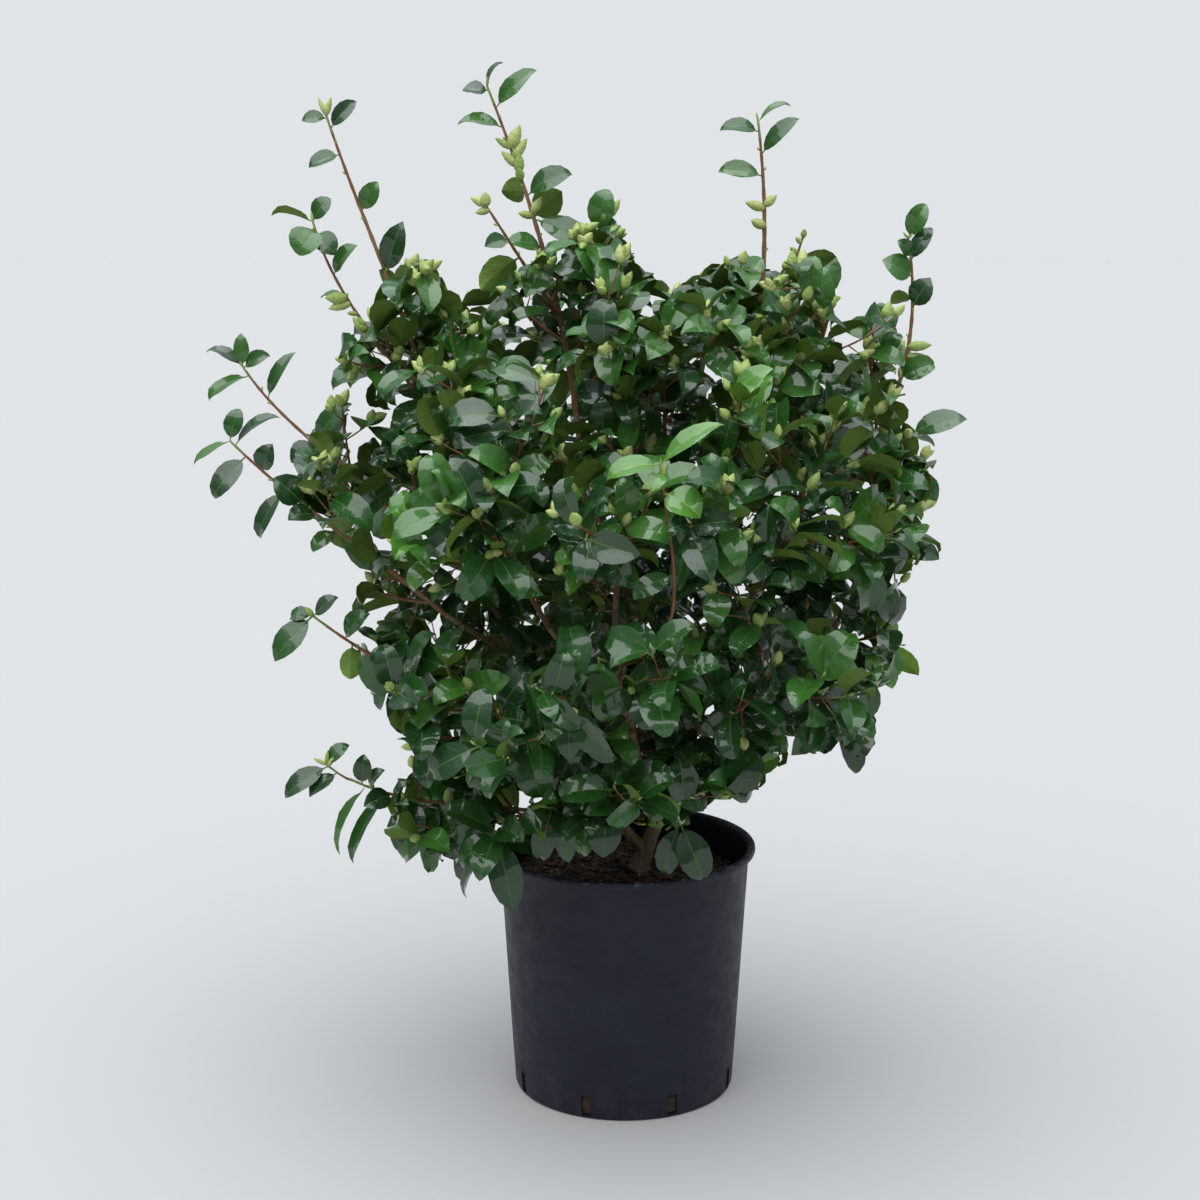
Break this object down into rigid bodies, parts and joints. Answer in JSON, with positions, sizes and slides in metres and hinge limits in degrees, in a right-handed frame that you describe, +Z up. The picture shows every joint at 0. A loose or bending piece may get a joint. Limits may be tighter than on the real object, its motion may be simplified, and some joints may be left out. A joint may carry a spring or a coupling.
{
  "type": "potted camellia shrub",
  "caption": "Upright evergreen camellia shrub with forking stems, glossy leaves and flower buds, standing in a round black nursery pot of compost",
  "frame": {"origin": "middle of the pot's flat underside, on the floor", "axes": "+Z is up along the pot's axis, -Y is the side that faces the picture's camera, +X is that camera's right"},
  "size_m": [1.1541, 0.9359, 1.5482],
  "materials": {
    "pot": "matte",
    "compost": "matte",
    "bark": "matte",
    "foliage": "gloss"
  },
  "bodies": {
    "root": {"pot": "pot", "compost": "compost", "trunk": "bark", "stem_left": "bark", "stem_centre": "bark", "stem_front": "bark", "stem_back": "bark", "stem_right": "bark", "bough_left_upper": "bark", "bough_left_middle": "bark", "bough_left_lower": "bark", "bough_skirt_left": "bark", "bough_skirt_front": "bark", "bough_skirt_right": "bark", "bough_right_lower": "bark", "bough_right_middle": "bark", "bough_right_upper": "bark", "bough_top_right": "bark", "bough_top_middle": "bark", "bough_front_left_upper": "bark", "bough_front_right_upper": "bark", "bough_front_left_lower": "bark", "bough_front_centre_lower": "bark", "bough_front_right_lower": "bark", "bough_back_top": "bark", "bough_back_left_upper": "bark", "bough_back_right_upper": "bark", "bough_back_centre_lower": "bark", "bough_back_left_lower": "bark", "bough_back_right_lower": "bark", "foliage_top_left_leader": "foliage", "foliage_left_upper": "foliage", "foliage_left_middle": "foliage", "foliage_left_lower": "foliage", "foliage_skirt_left": "foliage", "foliage_skirt_front": "foliage", "foliage_skirt_right": "foliage", "foliage_right_lower": "foliage", "foliage_right_middle": "foliage", "foliage_right_upper": "foliage", "foliage_right_leader": "foliage", "foliage_right_centre_leader": "foliage", "foliage_top_right": "foliage", "foliage_top_centre_leader": "foliage", "foliage_top_middle": "foliage", "foliage_front_left_upper": "foliage", "foliage_front_centre_upper": "foliage", "foliage_front_right_upper": "foliage", "foliage_front_left_lower": "foliage", "foliage_front_centre_lower": "foliage", "foliage_front_right_lower": "foliage", "foliage_back_top": "foliage", "foliage_back_centre_upper": "foliage", "foliage_back_left_upper": "foliage", "foliage_back_right_upper": "foliage", "foliage_back_centre_lower": "foliage", "foliage_back_left_lower": "foliage", "foliage_back_right_lower": "foliage"}
  },
  "joints": []
}
